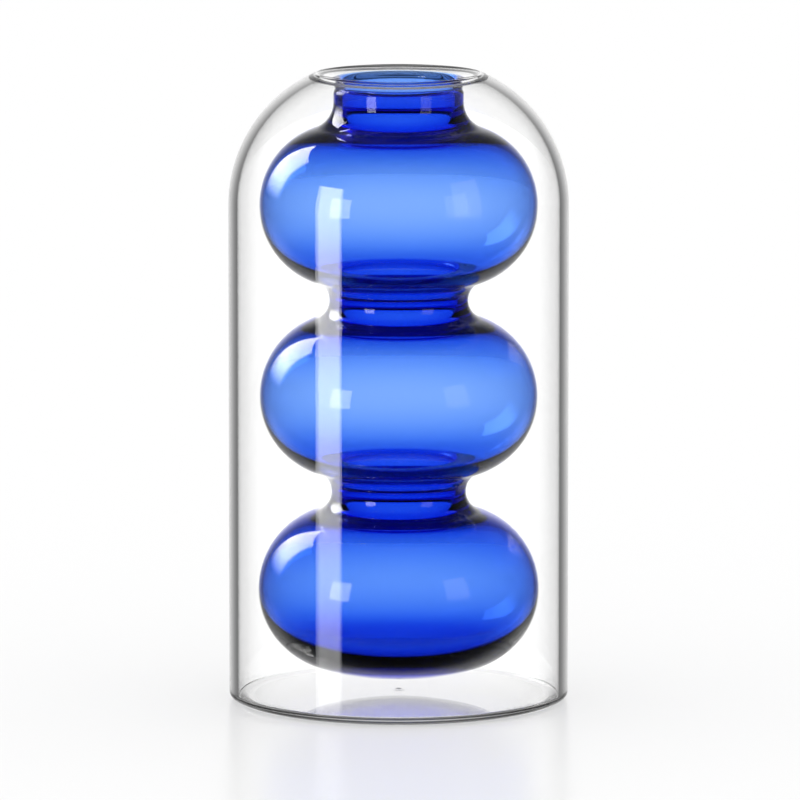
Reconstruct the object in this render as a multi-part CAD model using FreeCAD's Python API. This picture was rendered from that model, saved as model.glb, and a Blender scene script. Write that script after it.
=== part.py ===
import FreeCAD, Part
import math
import os

# Double-walled vase: a vessel of three round bulbs on one axis hangs by its neck inside a clear jacket.
# The axis is Z, the vase stands on z = 0, and every piece is turned, so each one is drawn as a half
# section in radius and height and swept once round the axis. Lengths are millimetres.

# Outer jacket: a straight tube with its top drawn in to a round shoulder
jacket_diameter = 107.6
jacket_wall = 2.8
shoulder_round = 45.6

# Mouth flange: a dished ring with a rolled rim, from the jacket's opening in to a short collar that is
# fused round the top of the vessel's neck, whose rounded edge is the lip
mouth_bore = 35.6
mouth_lip_round = 1.8
collar_wall = 2.2
collar_round = 1.8
dish_slope = 12.0
flange_thickness = 2.3
flange_width = 8.3
rim_thickness = 3.5
rim_root_round = 1.0
rim_seam_offset = 2.9

# Inner vessel: a neck, three bulbs and two waists blown from one tube, thin where it is widest
neck_wall = 2.7
neck_length = 11.0
neck_top_round = 2.6
neck_root_round = 9.0
bulb_side_round = 25.6
bulb_gap = 7.05
bottom_bulb_swell = 0.5
bottom_bulge = 2.8
upper_waist_gap = 9.4
upper_waist_round = 6.3
lower_waist_gap = 10.5
lower_waist_round = 6.65
waist_wall = 3.4
bulb_wall = 0.9
bottom_bulb_wall = 1.25
bottom_wall = 3.4
cavity_setback = 2.0
cavity_side_share = 0.955
bottom_side_share = 0.80
bore_edge_round = 2.4

# Base disc: fused into the foot of the jacket, pushed up a little so that it stands on a ring
base_thickness = 2.6
push_up = 0.8
foot_inset = 6.2
foot_ring_width = 2.0
foot_corner_height = 2.9
foot_corner_share = 0.68
inner_corner_round = 0.8
base_seam_rise = 0.8
vessel_gap = 4.2

# Vent: the hole that lets hot air out while the base is fused, closed last with a drop of glass
vent_diameter = 2.4
vent_drop_diameter = 3.8
vent_drop_depth = 0.25
vent_cap_height = 0.15

# Plain results of the sizes above
jacket_radius = jacket_diameter / 2
jacket_bore_radius = jacket_radius - jacket_wall
shoulder_bore_round = shoulder_round - jacket_wall
bore_radius = mouth_bore / 2
collar_radius = bore_radius + collar_wall
neck_radius = bore_radius + neck_wall
rim_round = rim_thickness / 2
rim_radius = bore_radius + flange_width
dish_sine = math.sin(math.radians(dish_slope))
dish_cosine = math.cos(math.radians(dish_slope))


def from_centre(centre, target, distance):
    """The point at a distance from centre, on the way to target."""
    across = target[0] - centre[0]
    up = target[1] - centre[1]
    share = distance / math.hypot(across, up)
    return (centre[0] + share * across, centre[1] + share * up)


def meet(first, first_reach, second, second_reach):
    """The outer of the two points at the given reaches from two centres."""
    across = second[0] - first[0]
    up = second[1] - first[1]
    apart = math.hypot(across, up)
    along = (first_reach ** 2 - second_reach ** 2 + apart ** 2) / (2 * apart)
    aside = math.sqrt(first_reach ** 2 - along ** 2)
    middle = from_centre(first, second, along)
    points = [
        (middle[0] + aside * up / apart, middle[1] - aside * across / apart),
        (middle[0] - aside * up / apart, middle[1] + aside * across / apart),
    ]
    return max(points)


class HalfSection:
    """A closed outline in radius and height, drawn edge by edge and swept round the axis."""

    def __init__(self, start):
        self.start = start
        self.here = start
        self.edges = []

    def line(self, end):
        self.edges.append(Part.LineSegment(spot(self.here), spot(end)).toShape())
        self.here = end

    def arc(self, centre, end):
        """The shorter arc about centre from the last point to end."""
        reach = math.dist(centre, self.here)
        across = self.here[0] + end[0] - 2 * centre[0]
        up = self.here[1] + end[1] - 2 * centre[1]
        middle = from_centre(centre, (centre[0] + across, centre[1] + up), reach)
        self.edges.append(Part.Arc(spot(self.here), spot(middle), spot(end)).toShape())
        self.here = end

    def turned(self):
        self.line(self.start)
        face = Part.Face(Part.Wire(self.edges))
        return face.revolve(FreeCAD.Vector(0, 0, 0), FreeCAD.Vector(0, 0, 1), 360)


def spot(point):
    return FreeCAD.Vector(point[0], 0, point[1])


class HalfOval:
    """Half of an oval on the axis: a side arc from its widest level runs into a flatter crown arc.

    way is 1 for the half above the level and -1 for the half below it.
    """

    def __init__(self, level, half_width, half_height, side_round, way):
        step = half_width - side_round
        self.way = way
        self.widest = (half_width, level)
        self.pole = (0, level + way * half_height)
        self.side_centre = (step, level)
        rise = half_height - side_round
        self.crown_round = (step ** 2 + half_height ** 2 - side_round ** 2) / (2 * rise)
        self.crown_centre = (0, level + way * (half_height - self.crown_round))
        self.joint = from_centre(self.crown_centre, self.side_centre, self.crown_round)

    def bore_edge(self, bore, edge_round):
        """Centre of the rounded edge where a bore opens through the crown."""
        out = bore + edge_round
        reach = self.crown_round + edge_round
        return (out, self.crown_centre[1] + self.way * math.sqrt(reach ** 2 - out ** 2))


# Base levels
foot_radius = jacket_radius - foot_inset
foot_flat_radius = foot_radius - foot_ring_width
crown_round = (foot_flat_radius ** 2 + push_up ** 2) / (2 * push_up)
base_crown_centre = (0, push_up - crown_round)
base_top_round = crown_round + base_thickness
inner_corner_radius = jacket_bore_radius - inner_corner_round
inner_corner_level = base_crown_centre[1] + math.sqrt(
    (base_top_round + inner_corner_round) ** 2 - inner_corner_radius ** 2
)
base_seam_level = inner_corner_level + base_seam_rise

# Vessel levels, from the bottom up
bulb_radius = jacket_bore_radius - bulb_gap
bottom_bulb_radius = bulb_radius + bottom_bulb_swell
bottom_level = push_up + base_thickness + vessel_gap + bulb_side_round + bottom_bulge
middle_level = bottom_level + 2 * bulb_side_round + lower_waist_gap
top_level = middle_level + 2 * bulb_side_round + upper_waist_gap
neck_seam_level = top_level + bulb_side_round + neck_length

# Mouth levels: the dished faces lie at one slope, measured square to the upper face
collar_round_radius = collar_radius + collar_round
seam_to_rim = flange_thickness + collar_round - rim_round + dish_sine * (rim_radius - collar_round_radius)
rim_centre = (rim_radius, neck_seam_level + seam_to_rim / dish_cosine)
shoulder_inset = jacket_radius - shoulder_round
shoulder_drop = math.sqrt((shoulder_round - rim_round) ** 2 - (rim_radius - shoulder_inset) ** 2)
shoulder_centre = (shoulder_inset, rim_centre[1] - shoulder_drop)
rim_seam_out = rim_radius + rim_seam_offset
rim_seam_rise = math.sqrt(shoulder_round ** 2 - (rim_seam_out - shoulder_inset) ** 2)
rim_seam_outer = (rim_seam_out, shoulder_centre[1] + rim_seam_rise)
rim_seam_inner = from_centre(shoulder_centre, rim_seam_outer, shoulder_bore_round)


def below_dish(radius, depth):
    """The point at a radius that lies square below the flange's upper face by a depth."""
    fall = (rim_round - depth - dish_sine * (rim_radius - radius)) / dish_cosine
    return (radius, rim_centre[1] + fall)


def square_to_dish(centre, distance):
    """The point at a distance from centre, square to the dished faces and upwards."""
    return (centre[0] - distance * dish_sine, centre[1] + distance * dish_cosine)


# The vessel's neck comes up inside the flange's collar to the mouth, and this is the top of their seam
neck_seam_top = below_dish(collar_radius, 0)


def outer_jacket():
    """Clear tube, open at the foot, closed in to the shoulder's opening at the top."""
    section = HalfSection((jacket_bore_radius, base_seam_level))
    section.line((jacket_bore_radius, shoulder_centre[1]))
    section.arc(shoulder_centre, rim_seam_inner)
    section.line(rim_seam_outer)
    section.arc(shoulder_centre, (jacket_radius, shoulder_centre[1]))
    section.line((jacket_radius, base_seam_level))
    return section.turned()


def mouth_flange():
    """Clear ring that carries the vessel: rolled rim, dished face and rounded collar."""
    under_rim = meet(
        shoulder_centre, shoulder_bore_round - rim_root_round, rim_centre, rim_round + rim_root_round
    )
    drop = flange_thickness + rim_root_round - rim_round
    inward = math.sqrt((rim_round + rim_root_round) ** 2 - drop ** 2)
    under_plate = (
        rim_centre[0] - inward * dish_cosine + drop * dish_sine,
        rim_centre[1] - inward * dish_sine - drop * dish_cosine,
    )
    collar_centre = below_dish(collar_round_radius, flange_thickness + collar_round)

    section = HalfSection(rim_seam_inner)
    section.arc(shoulder_centre, from_centre(shoulder_centre, under_rim, shoulder_bore_round))
    section.arc(under_rim, from_centre(rim_centre, under_rim, rim_round))
    section.arc(rim_centre, from_centre(rim_centre, under_plate, rim_round))
    section.arc(under_plate, square_to_dish(under_plate, rim_root_round))
    section.line(square_to_dish(collar_centre, collar_round))
    section.arc(collar_centre, (collar_radius, collar_centre[1]))
    section.line(neck_seam_top)
    section.line(square_to_dish(rim_centre, rim_round))
    section.arc(rim_centre, from_centre(shoulder_centre, rim_centre, shoulder_round))
    section.arc(shoulder_centre, rim_seam_outer)
    return section.turned()


def waist(upper_centre, lower_centre, waist_round):
    """Centre of the hollow round that joins two bulbs."""
    reach = bulb_side_round + waist_round
    return meet(upper_centre, reach, lower_centre, reach)


def draw_bore(section, lower, upper, bore):
    """From the crown of one cavity through a bore to the foot of the next one up."""
    lower_edge = lower.bore_edge(bore, bore_edge_round)
    section.arc(lower.crown_centre, from_centre(lower.crown_centre, lower_edge, lower.crown_round))
    section.arc(lower_edge, (bore, lower_edge[1]))
    upper_edge = upper.bore_edge(bore, bore_edge_round)
    section.line((bore, upper_edge[1]))
    section.arc(upper_edge, from_centre(upper.crown_centre, upper_edge, upper.crown_round))
    section.arc(upper.crown_centre, upper.joint)


def cavity(level, half_width, half_height, side_share, way):
    """Half of the hollow in a bulb, thin-walled at its widest level and thick towards the crown."""
    return HalfOval(level, half_width, half_height, side_share * half_height, way)


def inner_vessel():
    """Blue vessel: the lip and the outer outline down, then the hollow from the bottom up."""
    lip_centre = below_dish(bore_radius + mouth_lip_round, mouth_lip_round)
    top_side = (bulb_radius - bulb_side_round, top_level)
    middle_side = (bulb_radius - bulb_side_round, middle_level)
    bottom_side = (bottom_bulb_radius - bulb_side_round, bottom_level)
    neck_top_centre = neck_radius - neck_top_round
    neck_top_level = neck_seam_level - math.sqrt(neck_top_round ** 2 - (collar_radius - neck_top_centre) ** 2)
    root_out = neck_radius + neck_root_round
    root_rise = math.sqrt((bulb_side_round + neck_root_round) ** 2 - (root_out - top_side[0]) ** 2)
    root_centre = (root_out, top_level + root_rise)
    upper_waist = waist(top_side, middle_side, upper_waist_round)
    lower_waist = waist(middle_side, bottom_side, lower_waist_round)
    bottom = HalfOval(bottom_level, bottom_bulb_radius, bulb_side_round + bottom_bulge, bulb_side_round, -1)

    section = HalfSection((bore_radius, lip_centre[1]))
    section.arc(lip_centre, square_to_dish(lip_centre, mouth_lip_round))
    section.line(neck_seam_top)
    section.line((collar_radius, neck_seam_level))
    section.arc((neck_top_centre, neck_top_level), (neck_radius, neck_top_level))
    section.line((neck_radius, root_centre[1]))
    section.arc(root_centre, from_centre(top_side, root_centre, bulb_side_round))
    section.arc(top_side, from_centre(top_side, upper_waist, bulb_side_round))
    section.arc(upper_waist, from_centre(middle_side, upper_waist, bulb_side_round))
    section.arc(middle_side, from_centre(middle_side, lower_waist, bulb_side_round))
    section.arc(lower_waist, from_centre(bottom_side, lower_waist, bulb_side_round))
    section.arc(bottom_side, bottom.joint)
    section.arc(bottom.crown_centre, bottom.pole)

    half_height = bulb_side_round - cavity_setback
    bottom_half_height = bulb_side_round + bottom_bulge - bottom_wall
    half_width = bulb_radius - bulb_wall
    bottom_half_width = bottom_bulb_radius - bottom_bulb_wall
    bottom_below = cavity(bottom_level, bottom_half_width, bottom_half_height, bottom_side_share, -1)
    bottom_above = cavity(bottom_level, bottom_half_width, half_height, cavity_side_share, 1)
    middle_below = cavity(middle_level, half_width, half_height, cavity_side_share, -1)
    middle_above = cavity(middle_level, half_width, half_height, cavity_side_share, 1)
    top_below = cavity(top_level, half_width, half_height, cavity_side_share, -1)
    top_above = cavity(top_level, half_width, half_height, cavity_side_share, 1)

    section.line(bottom_below.pole)
    section.arc(bottom_below.crown_centre, bottom_below.joint)
    draw_widest(section, bottom_below, bottom_above)
    draw_bore(section, bottom_above, middle_below, lower_waist[0] - lower_waist_round - waist_wall)
    draw_widest(section, middle_below, middle_above)
    draw_bore(section, middle_above, top_below, upper_waist[0] - upper_waist_round - waist_wall)
    draw_widest(section, top_below, top_above)
    neck_edge = top_above.bore_edge(bore_radius, bore_edge_round)
    section.arc(top_above.crown_centre, from_centre(top_above.crown_centre, neck_edge, top_above.crown_round))
    section.arc(neck_edge, (bore_radius, neck_edge[1]))
    return section.turned()


def draw_widest(section, below, above):
    """The two side arcs of a cavity, up through its widest level."""
    section.arc(below.side_centre, below.widest)
    section.arc(above.side_centre, above.joint)


def on_dome(round_radius, radius):
    """The point at a radius on a dome about the base's crown centre."""
    return (radius, base_crown_centre[1] + math.sqrt(round_radius ** 2 - radius ** 2))


def base_disc():
    """Clear disc with a rounded foot, a short upstand to the jacket and the vent hole."""
    vent_radius = vent_diameter / 2
    corner_round = foot_corner_share * foot_corner_height
    corner = HalfOval(foot_corner_height, foot_inset, foot_corner_height, corner_round, -1)
    corner_centre = (jacket_radius - corner_round, foot_corner_height)
    sweep_centre = (foot_radius, corner.crown_round)
    inner_corner = (inner_corner_radius, inner_corner_level)

    section = HalfSection(on_dome(crown_round, vent_radius))
    section.arc(base_crown_centre, (foot_flat_radius, 0))
    section.line((foot_radius, 0))
    section.arc(sweep_centre, from_centre(sweep_centre, corner_centre, corner.crown_round))
    section.arc(corner_centre, (jacket_radius, foot_corner_height))
    section.line((jacket_radius, base_seam_level))
    section.line((jacket_bore_radius, base_seam_level))
    section.line((jacket_bore_radius, inner_corner_level))
    section.arc(inner_corner, from_centre(base_crown_centre, inner_corner, base_top_round))
    section.arc(base_crown_centre, on_dome(base_top_round, vent_radius))
    return section.turned()


def cap_centre(rim, height):
    """Centre on the axis of a round cap of a height over a rim; a negative height hangs below."""
    bulge = (rim[0] ** 2 + height ** 2) / (2 * height)
    return (0, rim[1] + height - bulge)


def vent_seal():
    """Drop of glass that fills the vent hole and spreads a little under the base."""
    hole_top = on_dome(base_top_round, vent_diameter / 2)
    hole_foot = on_dome(crown_round, vent_diameter / 2)
    drop_edge = on_dome(crown_round, vent_drop_diameter / 2)

    section = HalfSection((0, drop_edge[1] - vent_drop_depth))
    section.arc(cap_centre(drop_edge, -vent_drop_depth), drop_edge)
    section.arc(base_crown_centre, hole_foot)
    section.line(hole_top)
    section.arc(cap_centre(hole_top, vent_cap_height), (0, hole_top[1] + vent_cap_height))
    return section.turned()


pieces = {
    "outer_jacket": outer_jacket(),
    "mouth_flange": mouth_flange(),
    "inner_vessel": inner_vessel(),
    "base_disc": base_disc(),
    "vent_seal": vent_seal(),
}

os.makedirs("parts", exist_ok=True)
for name, solid in pieces.items():
    solid.exportStep("parts/" + name + ".step")
    box = solid.BoundBox
    print(name, solid.ShapeType, solid.isValid(), round(solid.Volume, 1), round(box.ZMin, 3), round(box.ZMax, 3))
print("height", round(rim_centre[1] + rim_round, 3), "levels", round(bottom_level, 3), round(top_level, 3))
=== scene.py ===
import math

import bpy
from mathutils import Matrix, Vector


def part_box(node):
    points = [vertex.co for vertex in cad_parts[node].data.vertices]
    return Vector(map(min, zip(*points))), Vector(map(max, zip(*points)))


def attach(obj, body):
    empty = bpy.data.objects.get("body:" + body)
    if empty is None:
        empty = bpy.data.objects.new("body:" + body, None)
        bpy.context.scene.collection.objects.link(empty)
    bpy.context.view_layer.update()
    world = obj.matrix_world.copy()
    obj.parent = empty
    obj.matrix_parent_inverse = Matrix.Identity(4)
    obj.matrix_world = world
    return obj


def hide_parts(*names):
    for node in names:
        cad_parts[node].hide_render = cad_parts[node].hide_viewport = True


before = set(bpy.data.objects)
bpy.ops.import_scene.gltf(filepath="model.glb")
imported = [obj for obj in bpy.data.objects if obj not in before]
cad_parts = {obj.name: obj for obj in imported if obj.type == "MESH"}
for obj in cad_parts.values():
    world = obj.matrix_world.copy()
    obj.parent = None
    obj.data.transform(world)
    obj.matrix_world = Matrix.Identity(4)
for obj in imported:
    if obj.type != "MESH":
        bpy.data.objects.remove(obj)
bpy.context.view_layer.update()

# Inner vessel
# The blue vessel that holds the flowers: a neck, three bulbs and two waists, blown from one thick tube in
# the flame, so its wall is thin where a bulb is widest and stays thick in the waists and the bottom.
# It hangs by its neck, which comes up to the mouth as its lip and has the clear flange fused round it.
bore_radius = 0.0178
neck_wall = 0.0027
neck_top_round = 0.0026
neck_root_round = 0.0090
collar_radius = 0.0200
bulb_radius = 0.04395
bottom_bulb_radius = 0.04445
bulb_side_round = 0.0256
bottom_bulge = 0.0028
neck_length = 0.0110
upper_waist_gap = 0.0094
upper_waist_round = 0.0063
lower_waist_round = 0.00665
waist_wall = 0.0034
bulb_wall = 0.0009
bottom_bulb_wall = 0.00125
bottom_wall = 0.0034
cavity_setback = 0.0020
cavity_side_share = 0.955
bottom_side_share = 0.80
bore_edge_round = 0.0024
mouth_lip_round = 0.0018
collar_round = 0.0018
dish_slope = math.radians(12)
flange_thickness = 0.0023
flange_width = 0.0083
rim_round = 0.00175
rim_radius = bore_radius + flange_width
rim_centre = (rim_radius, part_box("mouth_flange")[1].z - rim_round)
dish_sine = math.sin(dish_slope)
dish_cosine = math.cos(dish_slope)
collar_round_out = rim_radius - collar_radius - collar_round
seam_to_rim = flange_thickness + collar_round - rim_round + dish_sine * collar_round_out
neck_seam_level = rim_centre[1] - seam_to_rim / dish_cosine
top_level = neck_seam_level - neck_length - bulb_side_round
middle_level = top_level - 2 * bulb_side_round - upper_waist_gap
bottom_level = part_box("inner_vessel")[0].z + bulb_side_round + bottom_bulge
vessel_absorption = 1000.0
vessel_lets_through = (0.08, 0.46, 0.93)
vessel_ripple_size = 0.030
vessel_ripple_depth = 0.00002
ripple_detail = 1.0
glass_bending = 1.47

# Facets on a round: the turned pieces have their true normals, so these only set how round the edges look
turn_facets = 240
arc_facet_turn = math.radians(3)
least_arc_facets = 6
least_facet = 1e-9


def from_centre(centre, target, distance):
    """The point at a distance from centre, on the way to target."""
    across = target[0] - centre[0]
    up = target[1] - centre[1]
    share = distance / math.hypot(across, up)
    return (centre[0] + share * across, centre[1] + share * up)


def meet(first, first_reach, second, second_reach):
    """The outer of the two points at the given reaches from two centres."""
    across = second[0] - first[0]
    up = second[1] - first[1]
    apart = math.hypot(across, up)
    along = (first_reach ** 2 - second_reach ** 2 + apart ** 2) / (2 * apart)
    aside = math.sqrt(first_reach ** 2 - along ** 2)
    middle = from_centre(first, second, along)
    points = [
        (middle[0] + aside * up / apart, middle[1] - aside * across / apart),
        (middle[0] - aside * up / apart, middle[1] + aside * across / apart),
    ]
    return max(points)


class HalfSection:
    """A closed outline in radius and height, facet by facet. A facet has its two ends, the outline's true
    direction at each, and whether it lies in a fused seam."""

    def __init__(self, start):
        self.start = start
        self.here = start
        self.facets = []

    def add(self, end, way_in, way_out, seam):
        self.facets.append((self.here, end, way_in, way_out, seam))
        self.here = end

    def line(self, end, seam=False):
        across = end[0] - self.here[0]
        up = end[1] - self.here[1]
        length = math.hypot(across, up)
        way = (across / length, up / length)
        self.add(end, way, way, seam)

    def arc(self, centre, end):
        """The shorter arc about centre from the last point to end."""
        reach = math.dist(centre, self.here)
        first = math.atan2(self.here[1] - centre[1], self.here[0] - centre[0])
        last = math.atan2(end[1] - centre[1], end[0] - centre[0])
        turn = (last - first + math.pi) % (2 * math.pi) - math.pi
        side = math.copysign(1, turn)
        count = max(least_arc_facets, math.ceil(abs(turn) / arc_facet_turn))
        for step in range(count):
            angles = (first + turn * step / count, first + turn * (step + 1) / count)
            ways = [(-side * math.sin(angle), side * math.cos(angle)) for angle in angles]
            point = (centre[0] + reach * math.cos(angles[1]), centre[1] + reach * math.sin(angles[1]))
            if step == count - 1:
                point = end
            self.add(point, ways[0], ways[1], False)

    def area(self):
        """Its signed area, more than 0 for an outline that runs anticlockwise."""
        return sum(a[0] * b[1] - b[0] * a[1] for a, b, way_in, way_out, seam in self.facets) / 2


def turned(name, section, materials):
    """Sweeps a half section round the axis into a closed mesh whose corners have their true normals. The
    second material, where there is one, goes on the fused seams."""
    if math.dist(section.here, section.start) > least_facet:
        section.line(section.start)
    side = 1 if section.area() > 0 else -1
    corners = [(math.cos(turn), math.sin(turn)) for turn in
               (2 * math.pi * step / turn_facets for step in range(turn_facets))]
    points, rings = [], []
    for facet in section.facets:
        radius, height = facet[0]
        on_axis = radius < least_facet
        ring_corners = corners[:1] if on_axis else corners
        rings.append([len(points) + step % len(ring_corners) for step in range(turn_facets + 1)])
        points += [(radius * c, radius * s, height) for c, s in ring_corners]
    faces, normals, slots = [], [], []
    for index, (start, end, way_in, way_out, seam) in enumerate(section.facets):
        lower, upper = rings[index], rings[(index + 1) % len(rings)]
        if max(start[0], end[0]) < least_facet:
            continue
        for step in range(turn_facets):
            nearer, further = corners[step], corners[(step + 1) % turn_facets]
            ends = [(lower[step], nearer, way_in), (lower[step + 1], further, way_in),
                    (upper[step + 1], further, way_out), (upper[step], nearer, way_out)]
            if lower[step] == lower[step + 1]:
                ends.pop(1)
            if upper[step] == upper[step + 1]:
                ends.pop(-2)
            if side < 0:
                ends.reverse()
            faces.append([point for point, corner, way in ends])
            normals += [(side * way[1] * c, side * way[1] * s, -side * way[0])
                        for point, (c, s), way in ends]
            slots.append(1 if seam else 0)
    mesh = bpy.data.meshes.new(name)
    mesh.from_pydata(points, [], faces)
    mesh.polygons.foreach_set("use_smooth", [True] * len(faces))
    for material in materials:
        mesh.materials.append(material)
    if len(materials) > 1:
        mesh.polygons.foreach_set("material_index", slots)
    mesh.normals_split_custom_set(normals)
    mesh.update()
    piece = bpy.data.objects.new(name, mesh)
    bpy.context.scene.collection.objects.link(piece)
    return piece


class HalfOval:
    """Half of an oval on the axis: a side arc from its widest level runs into a flatter crown arc. way is 1
    for the half above the level and -1 for the half below it."""

    def __init__(self, level, half_width, half_height, side_round, way):
        step = half_width - side_round
        self.way = way
        self.widest = (half_width, level)
        self.pole = (0, level + way * half_height)
        self.side_centre = (step, level)
        rise = half_height - side_round
        self.crown_round = (step ** 2 + half_height ** 2 - side_round ** 2) / (2 * rise)
        self.crown_centre = (0, level + way * (half_height - self.crown_round))
        self.joint = from_centre(self.crown_centre, self.side_centre, self.crown_round)

    def bore_edge(self, bore):
        """Centre of the rounded edge where a bore opens through the crown."""
        out = bore + bore_edge_round
        reach = self.crown_round + bore_edge_round
        return (out, self.crown_centre[1] + self.way * math.sqrt(reach ** 2 - out ** 2))


def waist(upper_centre, lower_centre, waist_round):
    """Centre of the hollow round that joins two bulbs."""
    reach = bulb_side_round + waist_round
    return meet(upper_centre, reach, lower_centre, reach)


def cavity(level, half_width, half_height, side_share, way):
    """Half of the hollow in a bulb, thin-walled at its widest level and thick towards the crown."""
    return HalfOval(level, half_width, half_height, side_share * half_height, way)


def draw_widest(section, below, above):
    """The two side arcs of a cavity, up through its widest level."""
    section.arc(below.side_centre, below.widest)
    section.arc(above.side_centre, above.joint)


def draw_bore(section, lower, upper, bore):
    """From the crown of one cavity through a bore to the foot of the next one up."""
    lower_edge = lower.bore_edge(bore)
    section.arc(lower.crown_centre, from_centre(lower.crown_centre, lower_edge, lower.crown_round))
    section.arc(lower_edge, (bore, lower_edge[1]))
    upper_edge = upper.bore_edge(bore)
    section.line((bore, upper_edge[1]))
    section.arc(upper_edge, from_centre(upper.crown_centre, upper_edge, upper.crown_round))
    section.arc(upper.crown_centre, upper.joint)


def below_dish(radius, depth):
    """The point at a radius that lies square below the flange's upper face by a depth."""
    fall = (rim_round - depth - dish_sine * (rim_radius - radius)) / dish_cosine
    return (radius, rim_centre[1] + fall)


def square_to_dish(centre, distance):
    """The point at a distance from centre, square to the dished faces and upwards."""
    return (centre[0] - distance * dish_sine, centre[1] + distance * dish_cosine)


def vessel_section():
    """The lip and the outer outline down, then the hollow from the bottom up."""
    lip_centre = below_dish(bore_radius + mouth_lip_round, mouth_lip_round)
    neck_radius = bore_radius + neck_wall
    top_side = (bulb_radius - bulb_side_round, top_level)
    middle_side = (bulb_radius - bulb_side_round, middle_level)
    bottom_side = (bottom_bulb_radius - bulb_side_round, bottom_level)
    neck_top_centre = neck_radius - neck_top_round
    neck_top_level = neck_seam_level - math.sqrt(neck_top_round ** 2 - (collar_radius - neck_top_centre) ** 2)
    root_out = neck_radius + neck_root_round
    root_rise = math.sqrt((bulb_side_round + neck_root_round) ** 2 - (root_out - top_side[0]) ** 2)
    root_centre = (root_out, top_level + root_rise)
    upper_waist = waist(top_side, middle_side, upper_waist_round)
    lower_waist = waist(middle_side, bottom_side, lower_waist_round)
    bottom = HalfOval(bottom_level, bottom_bulb_radius, bulb_side_round + bottom_bulge, bulb_side_round, -1)

    section = HalfSection((bore_radius, lip_centre[1]))
    section.arc(lip_centre, square_to_dish(lip_centre, mouth_lip_round))
    section.line(below_dish(collar_radius, 0))
    section.line((collar_radius, neck_seam_level))
    section.arc((neck_top_centre, neck_top_level), (neck_radius, neck_top_level))
    section.line((neck_radius, root_centre[1]))
    section.arc(root_centre, from_centre(top_side, root_centre, bulb_side_round))
    section.arc(top_side, from_centre(top_side, upper_waist, bulb_side_round))
    section.arc(upper_waist, from_centre(middle_side, upper_waist, bulb_side_round))
    section.arc(middle_side, from_centre(middle_side, lower_waist, bulb_side_round))
    section.arc(lower_waist, from_centre(bottom_side, lower_waist, bulb_side_round))
    section.arc(bottom_side, bottom.joint)
    section.arc(bottom.crown_centre, bottom.pole)

    half_height = bulb_side_round - cavity_setback
    bottom_half_height = bulb_side_round + bottom_bulge - bottom_wall
    half_width = bulb_radius - bulb_wall
    bottom_half_width = bottom_bulb_radius - bottom_bulb_wall
    bottom_below = cavity(bottom_level, bottom_half_width, bottom_half_height, bottom_side_share, -1)
    bottom_above = cavity(bottom_level, bottom_half_width, half_height, cavity_side_share, 1)
    middle_below = cavity(middle_level, half_width, half_height, cavity_side_share, -1)
    middle_above = cavity(middle_level, half_width, half_height, cavity_side_share, 1)
    top_below = cavity(top_level, half_width, half_height, cavity_side_share, -1)
    top_above = cavity(top_level, half_width, half_height, cavity_side_share, 1)

    section.line(bottom_below.pole)
    section.arc(bottom_below.crown_centre, bottom_below.joint)
    draw_widest(section, bottom_below, bottom_above)
    draw_bore(section, bottom_above, middle_below, lower_waist[0] - lower_waist_round - waist_wall)
    draw_widest(section, middle_below, middle_above)
    draw_bore(section, middle_above, top_below, upper_waist[0] - upper_waist_round - waist_wall)
    draw_widest(section, top_below, top_above)
    neck_edge = top_above.bore_edge(bore_radius)
    section.arc(top_above.crown_centre, from_centre(top_above.crown_centre, neck_edge, top_above.crown_round))
    section.arc(neck_edge, (bore_radius, neck_edge[1]))
    return section


def glass(name, ripple_size, ripple_depth):
    """Fire-polished borosilicate: smooth and clear, with the faint ripple that working in a flame leaves."""
    material = bpy.data.materials.new(name)
    material.use_nodes = True
    nodes, links = material.node_tree.nodes, material.node_tree.links
    shader = nodes["Principled BSDF"]
    shader.inputs["Base Color"].default_value = (1, 1, 1, 1)
    shader.inputs["Roughness"].default_value = 0.0
    shader.inputs["IOR"].default_value = glass_bending
    shader.inputs["Transmission Weight"].default_value = 1.0
    place = nodes.new("ShaderNodeTexCoord")
    ripple = nodes.new("ShaderNodeTexNoise")
    ripple.inputs["Scale"].default_value = 1 / ripple_size
    ripple.inputs["Detail"].default_value = ripple_detail
    bump = nodes.new("ShaderNodeBump")
    bump.inputs["Distance"].default_value = ripple_depth
    links.new(place.outputs["Object"], ripple.inputs["Vector"])
    links.new(ripple.outputs["Fac"], bump.inputs["Height"])
    links.new(bump.outputs["Normal"], shader.inputs["Normal"])
    return material


blue_glass = glass("blue glass", vessel_ripple_size, vessel_ripple_depth)
blue_nodes = blue_glass.node_tree.nodes
blue_depth = blue_nodes.new("ShaderNodeVolumeAbsorption")
blue_depth.inputs["Color"].default_value = (*vessel_lets_through, 1)
blue_depth.inputs["Density"].default_value = vessel_absorption
blue_glass.node_tree.links.new(blue_depth.outputs["Volume"], blue_nodes["Material Output"].inputs["Volume"])

vessel = turned("inner_vessel_glass", vessel_section(), [blue_glass])
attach(vessel, "root")
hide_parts("inner_vessel")

# Mouth flange
# The clear ring that carries the vessel: a dished plate with a rolled rim, spun out from a short collar.
# The collar is fused round the top of the vessel's neck, and the rim to the opening of the shoulder.
rim_root_round = 0.0010
rim_seam_offset = 0.0029
shoulder_round = 0.0456
jacket_wall = 0.0028
neck_seam_lap = 0.00002
clear_ripple_size = 0.040
clear_ripple_depth = 0.00001
jacket_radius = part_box("outer_jacket")[1].x
shoulder_bore_round = shoulder_round - jacket_wall
shoulder_inset = jacket_radius - shoulder_round
shoulder_drop = math.sqrt((shoulder_round - rim_round) ** 2 - (rim_radius - shoulder_inset) ** 2)
shoulder_centre = (shoulder_inset, rim_centre[1] - shoulder_drop)
rim_seam_out = rim_radius + rim_seam_offset
rim_seam_rise = math.sqrt(shoulder_round ** 2 - (rim_seam_out - shoulder_inset) ** 2)
rim_seam_outer = (rim_seam_out, shoulder_centre[1] + rim_seam_rise)
rim_seam_inner = from_centre(shoulder_centre, rim_seam_outer, shoulder_bore_round)


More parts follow.
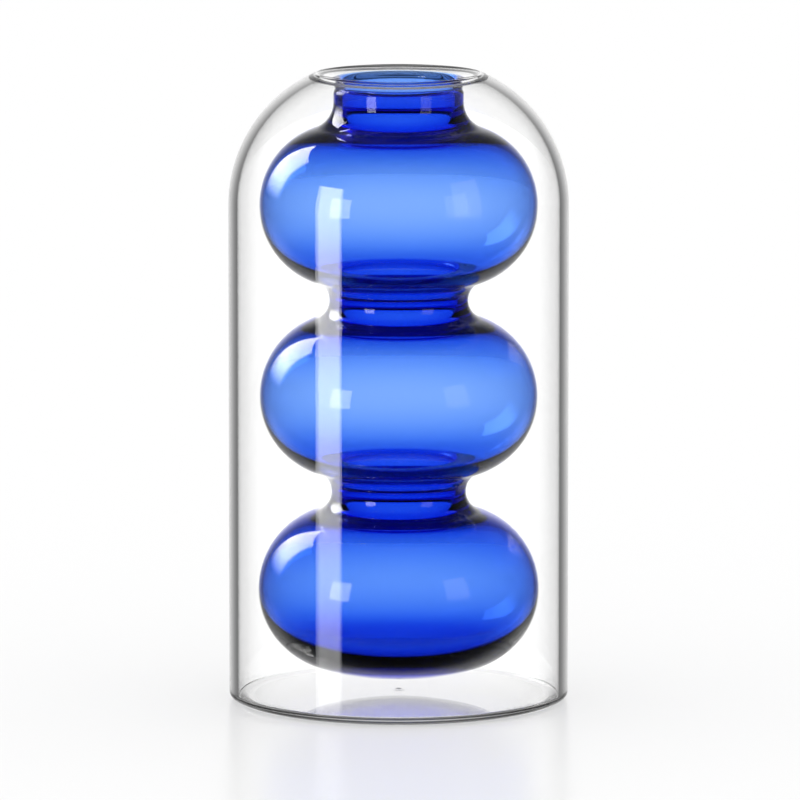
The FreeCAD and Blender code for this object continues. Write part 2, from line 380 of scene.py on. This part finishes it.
def flange_section():
    """From the inner end of the rim's seam, under the plate to the collar, and back over the dish."""
    under_rim = meet(
        shoulder_centre, shoulder_bore_round - rim_root_round, rim_centre, rim_round + rim_root_round
    )
    drop = flange_thickness + rim_root_round - rim_round
    inward = math.sqrt((rim_round + rim_root_round) ** 2 - drop ** 2)
    under_plate = (
        rim_centre[0] - inward * dish_cosine + drop * dish_sine,
        rim_centre[1] - inward * dish_sine - drop * dish_cosine,
    )
    collar_centre = below_dish(collar_radius + collar_round, flange_thickness + collar_round)
    lapped_radius = collar_radius - neck_seam_lap

    section = HalfSection(rim_seam_inner)
    section.arc(shoulder_centre, from_centre(shoulder_centre, under_rim, shoulder_bore_round))
    section.arc(under_rim, from_centre(rim_centre, under_rim, rim_round))
    section.arc(rim_centre, from_centre(rim_centre, under_plate, rim_round))
    section.arc(under_plate, square_to_dish(under_plate, rim_root_round))
    section.line(square_to_dish(collar_centre, collar_round))
    section.arc(collar_centre, (collar_radius, collar_centre[1]))
    section.line((lapped_radius, collar_centre[1]))
    section.line(below_dish(lapped_radius, 0))
    section.line(square_to_dish(rim_centre, rim_round))
    section.arc(rim_centre, from_centre(shoulder_centre, rim_centre, shoulder_round))
    section.arc(shoulder_centre, rim_seam_outer)
    section.line(rim_seam_inner, seam=True)
    return section


def fused_seam():
    """Where two clear pieces are melted together: the glass goes on through, so light passes unbent."""
    material = bpy.data.materials.new("fused seam")
    material.use_nodes = True
    nodes, links = material.node_tree.nodes, material.node_tree.links
    nodes.remove(nodes["Principled BSDF"])
    through = nodes.new("ShaderNodeBsdfTransparent")
    links.new(through.outputs["BSDF"], nodes["Material Output"].inputs["Surface"])
    return material


clear_glass = glass("clear glass", clear_ripple_size, clear_ripple_depth)
seam_glass = fused_seam()

flange = turned("mouth_flange_glass", flange_section(), [clear_glass, seam_glass])
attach(flange, "root")
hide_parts("mouth_flange")

# Outer jacket
# The clear wall round the vessel: a length of tube, its top drawn in to a round shoulder in the flame. It
# is fused to the flange's rim at the top and to the base disc at the foot, and seals the air in between.
jacket_bore_radius = jacket_radius - jacket_wall
base_seam_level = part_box("outer_jacket")[0].z


def jacket_section():
    """Up the bore and along the shoulder to the flange's seam, and back down the outside."""
    section = HalfSection((jacket_bore_radius, base_seam_level))
    section.line((jacket_bore_radius, shoulder_centre[1]))
    section.arc(shoulder_centre, rim_seam_inner)
    section.line(rim_seam_outer, seam=True)
    section.arc(shoulder_centre, (jacket_radius, shoulder_centre[1]))
    section.line((jacket_radius, base_seam_level))
    section.line((jacket_bore_radius, base_seam_level), seam=True)
    return section


jacket = turned("outer_jacket_glass", jacket_section(), [clear_glass, seam_glass])
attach(jacket, "root")
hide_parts("outer_jacket")

# Base disc
# The clear disc that closes the foot: fused to the jacket by a short upstand, pushed up a little in the
# middle while soft so that the vase stands on a ring, with a rounded corner outside and in.
base_thickness = 0.0026
push_up = 0.0008
foot_inset = 0.0062
foot_ring_width = 0.0020
foot_corner_height = 0.0029
foot_corner_share = 0.68
inner_corner_round = 0.0008
vent_radius = 0.0012
foot_radius = jacket_radius - foot_inset
foot_flat_radius = foot_radius - foot_ring_width
crown_round = (foot_flat_radius ** 2 + push_up ** 2) / (2 * push_up)
base_crown_centre = (0, push_up - crown_round)
base_top_round = crown_round + base_thickness
inner_corner_radius = jacket_bore_radius - inner_corner_round
inner_corner_level = base_crown_centre[1] + math.sqrt(
    (base_top_round + inner_corner_round) ** 2 - inner_corner_radius ** 2
)


def on_dome(round_radius, radius):
    """The point at a radius on a dome about the base's crown centre."""
    return (radius, base_crown_centre[1] + math.sqrt(round_radius ** 2 - radius ** 2))


def base_section():
    """Along the underside to the foot, round the corner to the seam, and back over the top."""
    corner_round = foot_corner_share * foot_corner_height
    corner = HalfOval(foot_corner_height, foot_inset, foot_corner_height, corner_round, -1)
    corner_centre = (jacket_radius - corner_round, foot_corner_height)
    sweep_centre = (foot_radius, corner.crown_round)
    inner_corner = (inner_corner_radius, inner_corner_level)

    section = HalfSection(on_dome(crown_round, vent_radius))
    section.arc(base_crown_centre, (foot_flat_radius, 0))
    section.line((foot_radius, 0))
    section.arc(sweep_centre, from_centre(sweep_centre, corner_centre, corner.crown_round))
    section.arc(corner_centre, (jacket_radius, foot_corner_height))
    section.line((jacket_radius, base_seam_level))
    section.line((jacket_bore_radius, base_seam_level), seam=True)
    section.line((jacket_bore_radius, inner_corner_level))
    section.arc(inner_corner, from_centre(base_crown_centre, inner_corner, base_top_round))
    section.arc(base_crown_centre, on_dome(base_top_round, vent_radius))
    section.line(on_dome(crown_round, vent_radius), seam=True)
    return section


base = turned("base_disc_glass", base_section(), [clear_glass, seam_glass])
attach(base, "root")
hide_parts("base_disc")

# Vent seal
# The drop of clear glass that closes the vent hole in the base, the last seam to be made: it fills the
# hole, domes up a little inside and spreads a little below.
vent_drop_radius = 0.0019
vent_drop_depth = 0.00025
vent_cap_height = 0.00015


def cap_centre(rim, height):
    """Centre on the axis of a round cap of a height over a rim; a negative height hangs below."""
    bulge = (rim[0] ** 2 + height ** 2) / (2 * height)
    return (0, rim[1] + height - bulge)


def vent_section():
    """The drop's underside, the side of the hole that it fills, and the cap above."""
    hole_top = on_dome(base_top_round, vent_radius)
    hole_foot = on_dome(crown_round, vent_radius)
    drop_edge = on_dome(crown_round, vent_drop_radius)
    section = HalfSection((0, drop_edge[1] - vent_drop_depth))
    section.arc(cap_centre(drop_edge, -vent_drop_depth), drop_edge)
    section.arc(base_crown_centre, hole_foot)
    section.line(hole_top, seam=True)
    section.arc(cap_centre(hole_top, vent_cap_height), (0, hole_top[1] + vent_cap_height))
    return section


vent = turned("vent_seal_glass", vent_section(), [clear_glass, seam_glass])
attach(vent, "root")
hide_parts("vent_seal")

# Studio light
# A white surround that is seen straight on and through the glass, and a dark studio with a few softboxes
# that is seen in its reflections, so that the blue stays deep and the edges of the glass are drawn. What is
# seen through glass is lifted a little, to make up for the light that each of its faces reflects away.
face_loss = 1.045
most_gain = 1.36
backdrop_angles = (0.05, 0.62)
backdrop_glow = 1.0
wing_angles = (0.7, 1.6)
wing_glow = 0.12
studio_dim = 0.01
below_rises = (-0.45, -0.15)
below_angles = (0.75, 1.15)
below_glow = 0.35
vessel_passes = 5
vessel_below_angles = (1.3, 1.8)
vessel_below_glow = 0.9
jacket_passes = 4
wall_echo = 0.28
deep_echo = 0.55
half_count = 0.5


def maths(tree, operation, first, second):
    """One step of arithmetic on two values or sockets."""
    node = tree.nodes.new("ShaderNodeMath")
    node.operation = operation
    for socket, value in zip(node.inputs, (first, second)):
        if isinstance(value, (int, float)):
            socket.default_value = value
        else:
            tree.links.new(value, socket)
    return node.outputs["Value"]


def rising(tree, value, low, high):
    """Goes smoothly from 0 at low to 1 at high."""
    node = tree.nodes.new("ShaderNodeMapRange")
    node.interpolation_type = "SMOOTHSTEP"
    node.inputs["From Min"].default_value = low
    node.inputs["From Max"].default_value = high
    tree.links.new(value, node.inputs["Value"])
    return node.outputs["Result"]


def falling(tree, value, low, high):
    """Goes smoothly from 1 at low to 0 at high."""
    return maths(tree, "SUBTRACT", 1.0, rising(tree, value, low, high))


def between(tree, share, first, second):
    """The first value where share is 0, and the second where it is 1."""
    kept = maths(tree, "MULTIPLY", first, maths(tree, "SUBTRACT", 1.0, share))
    return maths(tree, "ADD", kept, maths(tree, "MULTIPLY", second, share))


def at_least(tree, count, number):
    """1 where a count along the light's path has come to a whole number, and 0 before that."""
    return maths(tree, "GREATER_THAN", count, number - half_count)


def lift(tree, passes):
    """How much brighter a thing is shown after a number of passes through glass faces."""
    return maths(tree, "MINIMUM", maths(tree, "POWER", face_loss, passes), most_gain)


world = bpy.data.worlds.new("Studio")
bpy.context.scene.world = world
world.use_nodes = True
world.cycles.sampling_method = "NONE"
tree = world.node_tree
background = tree.nodes["Background"]
background.inputs["Color"].default_value = (1, 1, 1, 1)
path = tree.nodes.new("ShaderNodeLightPath")
passes, mirrors = path.outputs["Transmission Depth"], path.outputs["Glossy Depth"]
way = tree.nodes.new("ShaderNodeSeparateXYZ")
tree.links.new(tree.nodes.new("ShaderNodeTexCoord").outputs["Generated"], way.inputs["Vector"])
off_centre = maths(tree, "ARCCOSINE", way.outputs["Y"], 0.0)
below = falling(tree, way.outputs["Z"], *below_rises)

# What a first reflection sees: the lit backdrop behind the vase, its dimmer wings, and the light that comes
# up from below, which is stronger for reflections inside the vessel's own wall
backdrop = maths(tree, "MULTIPLY", falling(tree, off_centre, *backdrop_angles), backdrop_glow - wing_glow)
wings = maths(tree, "MULTIPLY", falling(tree, off_centre, *wing_angles), wing_glow)
rising_light = maths(
    tree, "MULTIPLY", falling(tree, off_centre, *below_angles), maths(tree, "MULTIPLY", below, below_glow)
)
vessel_rising_light = maths(
    tree, "MULTIPLY", falling(tree, off_centre, *vessel_below_angles),
    maths(tree, "MULTIPLY", below, vessel_below_glow),
)
in_vessel = maths(tree, "MULTIPLY", at_least(tree, passes, vessel_passes), vessel_rising_light)
sides = maths(tree, "ADD", maths(tree, "ADD", wings, rising_light), in_vessel)
first_echo = maths(tree, "ADD", maths(tree, "ADD", backdrop, sides), studio_dim)

# Further reflections see an even grey, darker for those that stay in the jacket's wall
later_echo = between(tree, at_least(tree, passes, jacket_passes), wall_echo, deep_echo)
echo = between(tree, at_least(tree, mirrors, 2), first_echo, later_echo)
mirrored = maths(tree, "MULTIPLY", at_least(tree, mirrors, 1), path.outputs["Is Singular Ray"])
brightness = maths(tree, "MULTIPLY", lift(tree, passes), between(tree, mirrored, 1.0, echo))
tree.links.new(brightness, background.inputs["Strength"])

# Softboxes
# Cards of light that only the reflections show. Each is given by its direction from the vase: the turn
# from the camera's side, to the right, and the rise, both in degrees, from one edge to the other.
softbox_distance = 1.5
softbox_level = 0.1
softbox_columns = 12
strip_turns = (-57, -39.6)
strip_join = -2.6
strip_strength = 6.3


def softbox(name, turns, rises, strength, passes, fade=0, side_fade=0):
    """A curved card round the vase. passes is the fewest and the most glass faces that its light may have
    come through. fade is the share of its height, from the foot up, over which it comes up to its strength,
    and side_fade softens its sides."""
    points, faces = [], []
    for step in range(softbox_columns + 1):
        turn = math.radians(turns[0] + (turns[1] - turns[0]) * step / softbox_columns)
        for rise in rises:
            height = softbox_level + softbox_distance * math.tan(math.radians(rise))
            points.append((softbox_distance * math.sin(turn), -softbox_distance * math.cos(turn), height))
    for step in range(softbox_columns):
        faces.append((2 * step, 2 * step + 2, 2 * step + 3, 2 * step + 1))
    mesh = bpy.data.meshes.new(name)
    mesh.from_pydata(points, [], faces)
    card = bpy.data.objects.new(name, mesh)
    bpy.context.scene.collection.objects.link(card)
    card.visible_camera = False
    card.visible_diffuse = False
    card.visible_shadow = False

    material = bpy.data.materials.new(name)
    material.use_nodes = True
    tree = material.node_tree
    tree.nodes.remove(tree.nodes["Principled BSDF"])
    path = tree.nodes.new("ShaderNodeLightPath")
    crossed = path.outputs["Transmission Depth"]
    share = tree.nodes.new("ShaderNodeSeparateXYZ")
    tree.links.new(tree.nodes.new("ShaderNodeTexCoord").outputs["Generated"], share.inputs["Vector"])
    level = rising(tree, share.outputs["Z"], 0.0, fade) if fade else 1.0
    if side_fade:
        across = share.outputs["X"]
        inward = maths(tree, "MULTIPLY", across, maths(tree, "SUBTRACT", 1.0, across))
        level = maths(tree, "MULTIPLY", level, rising(tree, inward, 0.0, side_fade))
    light = tree.nodes.new("ShaderNodeEmission")
    tree.links.new(maths(tree, "MULTIPLY", level, strength), light.inputs["Strength"])
    clear = tree.nodes.new("ShaderNodeBsdfTransparent")
    either = tree.nodes.new("ShaderNodeMixShader")
    too_many = at_least(tree, crossed, passes[1] + 1)
    in_range = maths(tree, "SUBTRACT", at_least(tree, crossed, passes[0]), too_many)
    mirrored = at_least(tree, path.outputs["Glossy Depth"], 1)
    tree.links.new(maths(tree, "MULTIPLY", mirrored, in_range), either.inputs["Fac"])
    tree.links.new(clear.outputs["BSDF"], either.inputs[1])
    tree.links.new(light.outputs["Emission"], either.inputs[2])
    tree.links.new(either.outputs["Shader"], tree.nodes["Material Output"].inputs["Surface"])
    mesh.materials.append(material)


softbox("low_strip_light", strip_turns, (-18, strip_join), strip_strength, passes=(0, 2), fade=0.80)
softbox("high_strip_light", strip_turns, (strip_join, 21), strip_strength, passes=(0, 4))
softbox("side_light", (-146, -113), (2, 41), 9.0, passes=(4, 8), fade=0.45, side_fade=0.12)
softbox("front_light", (38, 60), (-6, 26), 1.5, passes=(2, 4), fade=0.30, side_fade=0.06)

# Floor
# A plain white surface that keeps the vase's soft shadow and a faint shine. The glass's own reflections look
# past it to the studio light. Seen through glass, its glow is lifted like the surround, and lifted further
# through
# the base: painted light that makes the floor show lighter there.
floor_size = 8.0
floor_white = 0.46
floor_glow = 0.60
floor_lift = 0.11
floor_shine = 0.22
floor_blur = 0.22

reach = floor_size / 2
floor_mesh = bpy.data.meshes.new("floor")
corners = [(-reach, -reach, 0), (reach, -reach, 0), (reach, reach, 0), (-reach, reach, 0)]
floor_mesh.from_pydata(corners, [], [(0, 1, 2, 3)])
floor = bpy.data.objects.new("floor", floor_mesh)
bpy.context.scene.collection.objects.link(floor)
floor_material = bpy.data.materials.new("white floor")
floor_material.use_nodes = True
tree = floor_material.node_tree
tree.nodes.remove(tree.nodes["Principled BSDF"])
path = tree.nodes.new("ShaderNodeLightPath")
passes = path.outputs["Transmission Depth"]
# Painted light: the floor glows more where it is seen through four or more glass faces, as through the base
painted_glow_through_base = maths(tree, "MULTIPLY", at_least(tree, passes, jacket_passes), floor_lift)
added = maths(tree, "ADD", maths(tree, "SUBTRACT", lift(tree, passes), 1.0), painted_glow_through_base)
glow = tree.nodes.new("ShaderNodeEmission")
tree.links.new(maths(tree, "ADD", added, floor_glow), glow.inputs["Strength"])
matt = tree.nodes.new("ShaderNodeBsdfDiffuse")
matt.inputs["Color"].default_value = (floor_white, floor_white, floor_white, 1)
both = tree.nodes.new("ShaderNodeAddShader")
tree.links.new(matt.outputs["BSDF"], both.inputs[0])
tree.links.new(glow.outputs["Emission"], both.inputs[1])
shine = tree.nodes.new("ShaderNodeBsdfGlossy")
shine.inputs["Roughness"].default_value = floor_blur
polished = tree.nodes.new("ShaderNodeMixShader")
polished.inputs["Fac"].default_value = floor_shine
tree.links.new(both.outputs["Shader"], polished.inputs[1])
tree.links.new(shine.outputs["BSDF"], polished.inputs[2])
clear = tree.nodes.new("ShaderNodeBsdfTransparent")
either = tree.nodes.new("ShaderNodeMixShader")
tree.links.new(at_least(tree, path.outputs["Glossy Depth"], 1), either.inputs["Fac"])
tree.links.new(polished.outputs["Shader"], either.inputs[1])
tree.links.new(clear.outputs["BSDF"], either.inputs[2])
tree.links.new(either.outputs["Shader"], tree.nodes["Material Output"].inputs["Surface"])
floor_mesh.materials.append(floor_material)

# Camera
# A long lens from about three metres, a little above the vase, as in the photograph.
camera_place = Vector((0, -3.055, 0.5345))
camera_aim = Vector((0.00044, 0, 0.09585))
camera_lens = 438.6
camera_sensor = 36
camera_sight = 100
lens = bpy.data.cameras.new("camera")
lens.lens = camera_lens
lens.sensor_width = camera_sensor
lens.clip_end = camera_sight
camera = bpy.data.objects.new("camera", lens)
camera.location = camera_place
camera.rotation_euler = (camera_aim - camera_place).to_track_quat("-Z", "Y").to_euler()
bpy.context.scene.collection.objects.link(camera)
bpy.context.scene.camera = camera

# Light crosses many faces of glass on its way through the vase, so it is followed for many bounces
glass_bounces = 32
mirror_bounces = 16
scene = bpy.context.scene
scene.view_settings.view_transform = "Standard"
scene.cycles.max_bounces = glass_bounces
scene.cycles.transmission_bounces = glass_bounces
scene.cycles.glossy_bounces = mirror_bounces
scene.cycles.transparent_max_bounces = glass_bounces
scene.cycles.use_denoising = True
